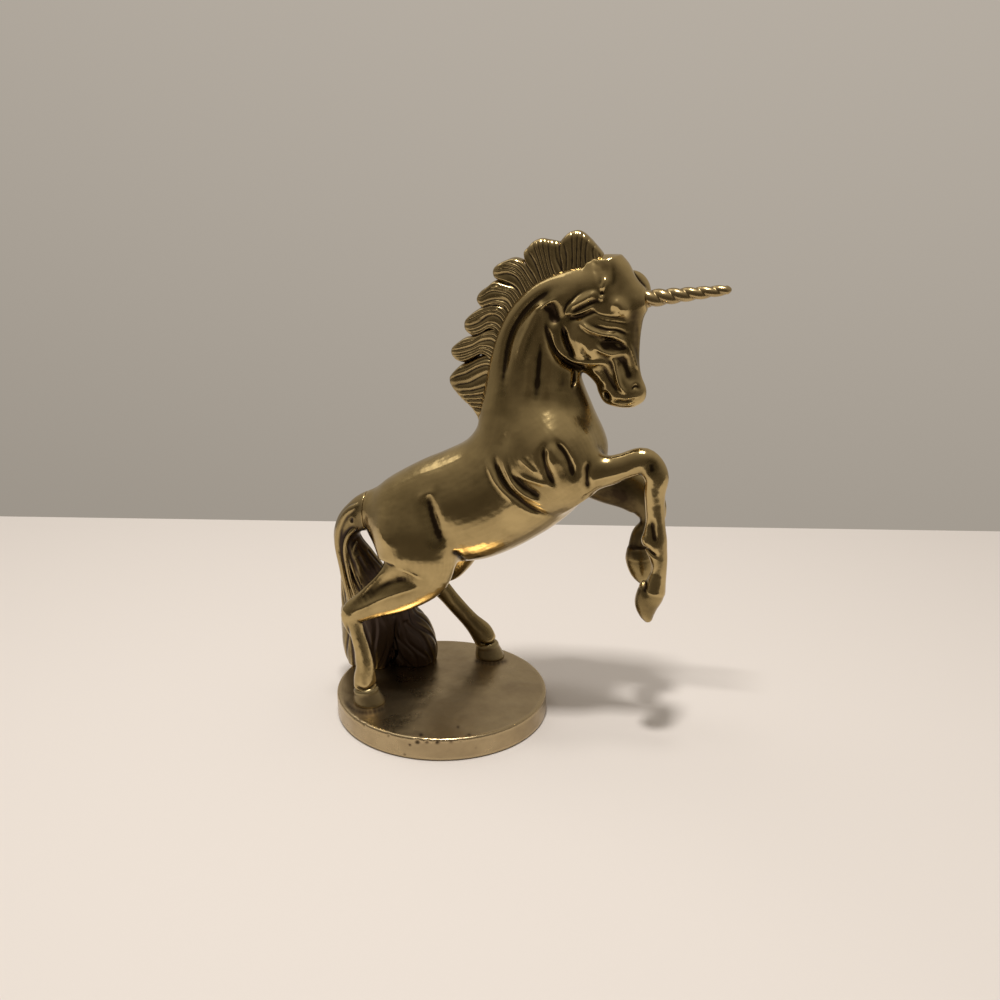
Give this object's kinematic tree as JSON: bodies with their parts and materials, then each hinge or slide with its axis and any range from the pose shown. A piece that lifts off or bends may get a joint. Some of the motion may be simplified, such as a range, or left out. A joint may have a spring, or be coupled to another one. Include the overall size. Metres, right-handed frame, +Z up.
{
  "type": "unicorn figurine",
  "caption": "Cast brass figurine of a rearing unicorn on an oval plinth, with a twisted horn, a scalloped mane and a long tail that rests on the plinth.",
  "frame": {"origin": "centre of the plinth's flat underside", "axes": "+X forwards, the way the horn points; +Y to the animal's left; +Z up"},
  "size_m": [0.1969, 0.104, 0.2527],
  "materials": {
    "body_brass": "aged polish, tarnished in the hollows",
    "hair_brass": "aged polish on the strands, dark between them",
    "horn_brass": "polished",
    "hoof_brass": "dull",
    "plinth_brass": "satin, with small casting pits",
    "screw_brass": "turned"
  },
  "bodies": {
    "figurine": {"plinth": "plinth_brass", "right_body_shell": "body_brass", "left_body_shell": "body_brass", "right_hind_leg": "body_brass", "left_hind_leg": "body_brass", "right_foreleg": "body_brass", "left_foreleg": "body_brass", "right_hind_hoof": "hoof_brass", "left_hind_hoof": "hoof_brass", "mane": "hair_brass", "horn": "horn_brass", "tail": "hair_brass", "hoof_screws": "screw_brass"}
  },
  "joints": []
}
